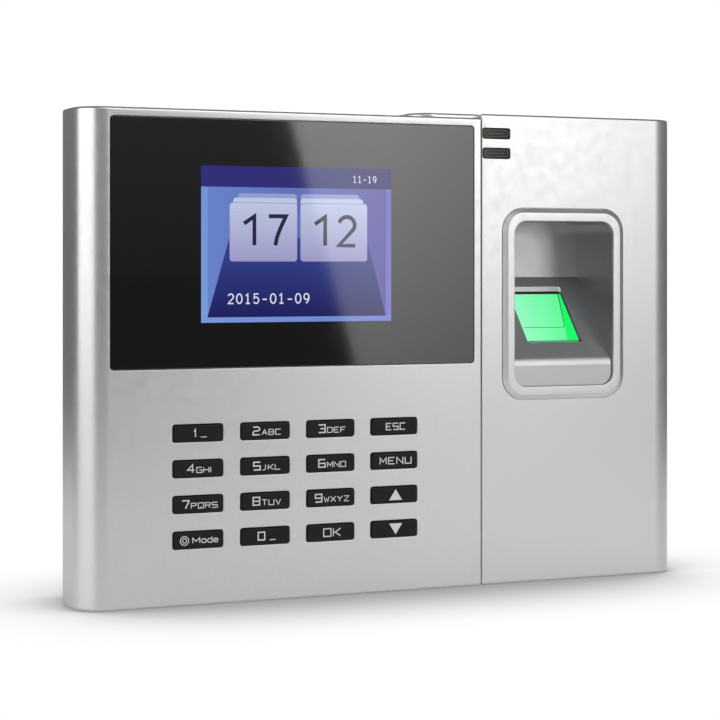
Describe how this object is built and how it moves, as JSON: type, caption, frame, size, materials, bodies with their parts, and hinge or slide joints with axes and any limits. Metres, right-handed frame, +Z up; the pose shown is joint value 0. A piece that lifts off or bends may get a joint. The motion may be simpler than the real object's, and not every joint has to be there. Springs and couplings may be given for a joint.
{
  "type": "fingerprint scanner terminal",
  "caption": "Two-module fingerprint terminal: black window with display over a push-button keypad, beside a framed sloping finger sensor, on a hook-on wall plate.",
  "frame": {"origin": "middle of the footprint, at the bottom of the terminal's bounding box", "axes": "+X to the viewer's right along the width, +Y from the front to the wall, +Z up"},
  "size_m": [0.1886, 0.0362, 0.1375],
  "materials": {
    "silver_paint": "satin metallic silver paint on moulded plastic, fine grain",
    "reader_grey": "satin silver-grey paint on moulded plastic",
    "rear_plastic": "fine spark-textured dark grey plastic",
    "plate_steel": "zinc-plated sheet steel",
    "zinc_steel": "zinc-plated steel",
    "window_black": "polished black-backed acrylic with a clear sight area",
    "tape_black": "black foam tape",
    "lcd_glass": "lit colour display",
    "lcd_frame": "stamped metal tray",
    "diffuser": "white diffuser sheet",
    "mat_rubber": "silicone rubber",
    "board_green": "solder mask on glass fibre board",
    "sensor_glass": "polished prism lit green from below",
    "led_green": "green lamp",
    "lens_glass": "black lens barrel",
    "smoked_plastic": "smoked clear plastic",
    "black_plastic": "moulded black plastic",
    "speaker_black": "black paper cone in a pressed frame",
    "jack_steel": "tinned shield",
    "key_black": "black key cap with white legend",
    "ribbon": "amber polyimide flat cable"
  },
  "bodies": {
    "root": {"buzzer": "black_plastic", "case_screw_1": "zinc_steel", "case_screw_2": "zinc_steel", "case_screw_3": "zinc_steel", "case_screw_4": "zinc_steel", "coin_cell": "zinc_steel", "coin_cell_holder": "black_plastic", "dc_jack": "black_plastic", "display_window": "window_black", "ethernet_jack": "jack_steel", "finger_bezel": "silver_paint", "finger_well": "reader_grey", "indicator_board": "board_green", "indicator_pipe_lower": "smoked_plastic", "indicator_pipe_upper": "smoked_plastic", "keypad_board": "board_green", "keypad_mat": "mat_rubber", "keypad_ribbon": "ribbon", "lcd_backlight": "diffuser", "lcd_frame": "lcd_frame", "lcd_panel": "lcd_glass", "lcd_ribbon": "ribbon", "left_cover": "silver_paint", "lock_screw": "zinc_steel", "main_board": "board_green", "memory_chip": "black_plastic", "processor_chip": "black_plastic", "rear_cover": "rear_plastic", "right_cover": "silver_paint", "sensor_board": "board_green", "sensor_housing": "black_plastic", "sensor_lens": "lens_glass", "sensor_light_bar": "led_green", "sensor_prism": "sensor_glass", "sensor_ribbon": "ribbon", "speaker": "speaker_black", "speaker_gasket": "tape_black", "tamper_switch": "black_plastic", "usb_board": "board_green", "usb_shell": "jack_steel", "usb_tongue": "black_plastic", "wall_plate": "plate_steel", "window_tape": "tape_black"},
    "key_1": {"key_1": "key_black"},
    "key_2": {"key_2": "key_black"},
    "key_3": {"key_3": "key_black"},
    "key_esc": {"key_esc": "key_black"},
    "key_4": {"key_4": "key_black"},
    "key_5": {"key_5": "key_black"},
    "key_6": {"key_6": "key_black"},
    "key_menu": {"key_menu": "key_black"},
    "key_7": {"key_7": "key_black"},
    "key_8": {"key_8": "key_black"},
    "key_9": {"key_9": "key_black"},
    "key_up": {"key_up": "key_black"},
    "key_mode": {"key_mode": "key_black"},
    "key_0": {"key_0": "key_black"},
    "key_ok": {"key_ok": "key_black"},
    "key_down": {"key_down": "key_black"},
    "tamper_plunger": {"tamper_plunger": "mat_rubber"}
  },
  "joints": [
    {"name": "press_key_1", "type": "slide", "parent": "root", "child": "key_1", "axis": [0, 1, 0], "range_m": [0, 0.001], "stiffness_N_per_m": 1200},
    {"name": "press_key_2", "type": "slide", "parent": "root", "child": "key_2", "axis": [0, 1, 0], "range_m": [0, 0.001], "stiffness_N_per_m": 1200},
    {"name": "press_key_3", "type": "slide", "parent": "root", "child": "key_3", "axis": [0, 1, 0], "range_m": [0, 0.001], "stiffness_N_per_m": 1200},
    {"name": "press_key_esc", "type": "slide", "parent": "root", "child": "key_esc", "axis": [0, 1, 0], "range_m": [0, 0.001], "stiffness_N_per_m": 1200},
    {"name": "press_key_4", "type": "slide", "parent": "root", "child": "key_4", "axis": [0, 1, 0], "range_m": [0, 0.001], "stiffness_N_per_m": 1200},
    {"name": "press_key_5", "type": "slide", "parent": "root", "child": "key_5", "axis": [0, 1, 0], "range_m": [0, 0.001], "stiffness_N_per_m": 1200},
    {"name": "press_key_6", "type": "slide", "parent": "root", "child": "key_6", "axis": [0, 1, 0], "range_m": [0, 0.001], "stiffness_N_per_m": 1200},
    {"name": "press_key_menu", "type": "slide", "parent": "root", "child": "key_menu", "axis": [0, 1, 0], "range_m": [0, 0.001], "stiffness_N_per_m": 1200},
    {"name": "press_key_7", "type": "slide", "parent": "root", "child": "key_7", "axis": [0, 1, 0], "range_m": [0, 0.001], "stiffness_N_per_m": 1200},
    {"name": "press_key_8", "type": "slide", "parent": "root", "child": "key_8", "axis": [0, 1, 0], "range_m": [0, 0.001], "stiffness_N_per_m": 1200},
    {"name": "press_key_9", "type": "slide", "parent": "root", "child": "key_9", "axis": [0, 1, 0], "range_m": [0, 0.001], "stiffness_N_per_m": 1200},
    {"name": "press_key_up", "type": "slide", "parent": "root", "child": "key_up", "axis": [0, 1, 0], "range_m": [0, 0.001], "stiffness_N_per_m": 1200},
    {"name": "press_key_mode", "type": "slide", "parent": "root", "child": "key_mode", "axis": [0, 1, 0], "range_m": [0, 0.001], "stiffness_N_per_m": 1200},
    {"name": "press_key_0", "type": "slide", "parent": "root", "child": "key_0", "axis": [0, 1, 0], "range_m": [0, 0.001], "stiffness_N_per_m": 1200},
    {"name": "press_key_ok", "type": "slide", "parent": "root", "child": "key_ok", "axis": [0, 1, 0], "range_m": [0, 0.001], "stiffness_N_per_m": 1200},
    {"name": "press_key_down", "type": "slide", "parent": "root", "child": "key_down", "axis": [0, 1, 0], "range_m": [0, 0.001], "stiffness_N_per_m": 1200},
    {"name": "press_tamper_plunger", "type": "slide", "parent": "root", "child": "tamper_plunger", "axis": [0, -1, 0], "range_m": [0, 0.0012], "stiffness_N_per_m": 400}
  ]
}
